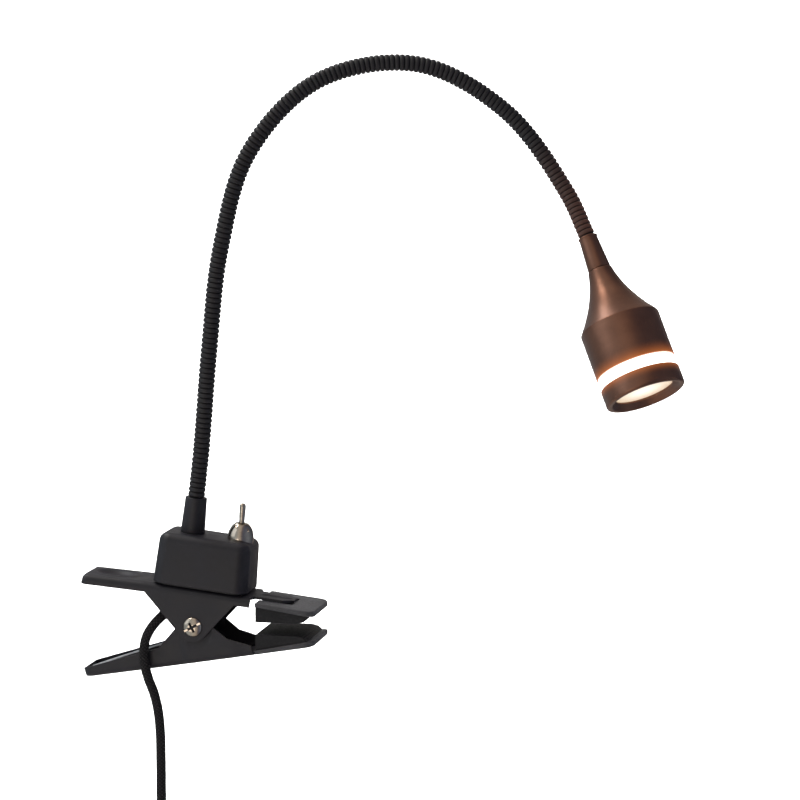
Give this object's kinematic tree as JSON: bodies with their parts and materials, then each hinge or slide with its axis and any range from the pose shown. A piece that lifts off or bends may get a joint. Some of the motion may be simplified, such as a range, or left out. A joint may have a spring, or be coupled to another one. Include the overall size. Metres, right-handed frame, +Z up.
{
  "type": "clip on reading lamp",
  "caption": "Spring-clip reading lamp with a gooseneck, a flared bronze head with a lit ring and front lens, a toggle switch on the clip and a corded plug.",
  "frame": {"origin": "middle of the upper jaw pad's grip face, where the lamp is held on a shelf edge", "axes": "+X the way the jaw points, +Z up, -Y the side with the pivot screw's head"},
  "size_m": [0.2817, 0.0721, 0.5685],
  "materials": {
    "black_paint": "satin",
    "bronze": "satin",
    "neck_black": "matte",
    "nickel": "polished",
    "steel": "satin",
    "soft_black": "matte",
    "hard_black": "satin",
    "cord_black": "matte",
    "acrylic": "satin",
    "aluminium": "satin",
    "board_green": "satin",
    "board_white": "matte",
    "reflector_white": "gloss",
    "switch_red": "satin",
    "lead_red": "satin",
    "lead_black": "satin",
    "brass": "satin"
  },
  "bodies": {
    "clip_upper": {"upper_lever": "black_paint", "housing_base": "hard_black", "switch_housing": "black_paint", "housing_screw_1": "steel", "housing_screw_2": "steel", "upper_jaw_pad": "soft_black", "pivot_screw": "nickel", "pivot_washer": "steel", "pivot_nut": "steel", "pivot_spacer": "steel", "clamp_spring": "steel", "neck_collar": "black_paint", "collar_nut": "steel", "switch_bushing": "nickel", "switch_dome_nut": "nickel", "switch_body": "switch_red", "switch_terminal_1": "brass", "switch_terminal_2": "brass", "driver_board": "board_green", "cord_grommet": "hard_black", "supply_lead": "lead_red", "switch_lead": "lead_red", "lamp_lead": "lead_black", "neck_link_1": "neck_black", "power_cord": "cord_black", "cord_hank": "cord_black", "hank_tie": "soft_black", "cord_tail": "cord_black", "plug_strain_relief": "soft_black", "plug_body": "hard_black", "plug_blade_1": "nickel", "plug_blade_2": "nickel"},
    "clip_lower": {"lower_lever": "black_paint", "lower_jaw_pad": "soft_black"},
    "toggle": {"toggle_lever": "nickel"},
    "neck_2": {"neck_link_2": "neck_black"},
    "neck_3": {"neck_link_3": "neck_black"},
    "neck_4": {"neck_link_4": "neck_black"},
    "neck_5": {"neck_link_5": "neck_black"},
    "neck_6": {"neck_link_6": "neck_black"},
    "neck_7": {"neck_link_7": "neck_black"},
    "neck_8": {"neck_link_8": "neck_black"},
    "lamp_head": {"neck_link_9": "neck_black", "head_sleeve": "bronze", "sleeve_nut": "brass", "head_shell": "bronze", "heat_sink": "aluminium", "led_board": "board_white", "led_emitter": "acrylic", "board_screw_1": "steel", "board_screw_2": "steel", "head_lead_1": "lead_red", "head_lead_2": "lead_black", "light_ring": "acrylic", "front_bezel": "bronze", "lens": "acrylic", "reflector": "reflector_white"}
  },
  "joints": [
    {"name": "clamp_hinge", "type": "hinge", "parent": "clip_upper", "child": "clip_lower", "pos_m": [-0.045, 0, -0.004], "axis": [0, 1, 0], "range_deg": [0, 20], "stiffness_Nm_per_rad": 1.6, "springref_deg": -28.65, "deforming": ["clamp_spring"]},
    {"name": "toggle_pivot", "type": "hinge", "parent": "clip_upper", "child": "toggle", "pos_m": [-0.02459, 0, 0.03997], "axis": [-0.9936, 0, 0.1132], "range_deg": [0, 20]},
    {"name": "neck_bend_1", "type": "hinge", "parent": "clip_upper", "child": "neck_2", "pos_m": [-0.04356, 0, 0.07927], "axis": [-0.2486, 0.9686, 0.0046], "range_deg": [-15, 15]},
    {"name": "neck_bend_2", "type": "hinge", "parent": "neck_2", "child": "neck_3", "pos_m": [-0.03991, 0.00186, 0.12609], "axis": [-0.9636, -0.2472, 0.1019], "range_deg": [-15, 15]},
    {"name": "neck_bend_3", "type": "hinge", "parent": "neck_3", "child": "neck_4", "pos_m": [-0.03537, 0.00656, 0.17264], "axis": [-0.2547, 0.9615, -0.1036], "range_deg": [-15, 15]},
    {"name": "neck_bend_4", "type": "hinge", "parent": "neck_4", "child": "neck_5", "pos_m": [-0.02378, 0.01595, 0.21721], "axis": [-0.8475, -0.1611, 0.5057], "range_deg": [-15, 15]},
    {"name": "neck_bend_5", "type": "hinge", "parent": "neck_5", "child": "neck_6", "pos_m": [0.00681, 0.02894, 0.25044], "axis": [-0.2508, 0.9599, -0.1251], "range_deg": [-15, 15]},
    {"name": "neck_bend_6", "type": "hinge", "parent": "neck_6", "child": "neck_7", "pos_m": [0.05165, 0.04095, 0.25779], "axis": [0.1302, 0.1676, 0.9772], "range_deg": [-15, 15]},
    {"name": "neck_bend_7", "type": "hinge", "parent": "neck_7", "child": "neck_8", "pos_m": [0.09252, 0.04816, 0.23573], "axis": [-0.2221, 0.9616, -0.1614], "range_deg": [-15, 15]},
    {"name": "neck_bend_8", "type": "hinge", "parent": "neck_8", "child": "lamp_head", "pos_m": [0.12144, 0.04715, 0.19869], "axis": [0.8215, 0.2891, 0.4915], "range_deg": [-15, 15]}
  ]
}
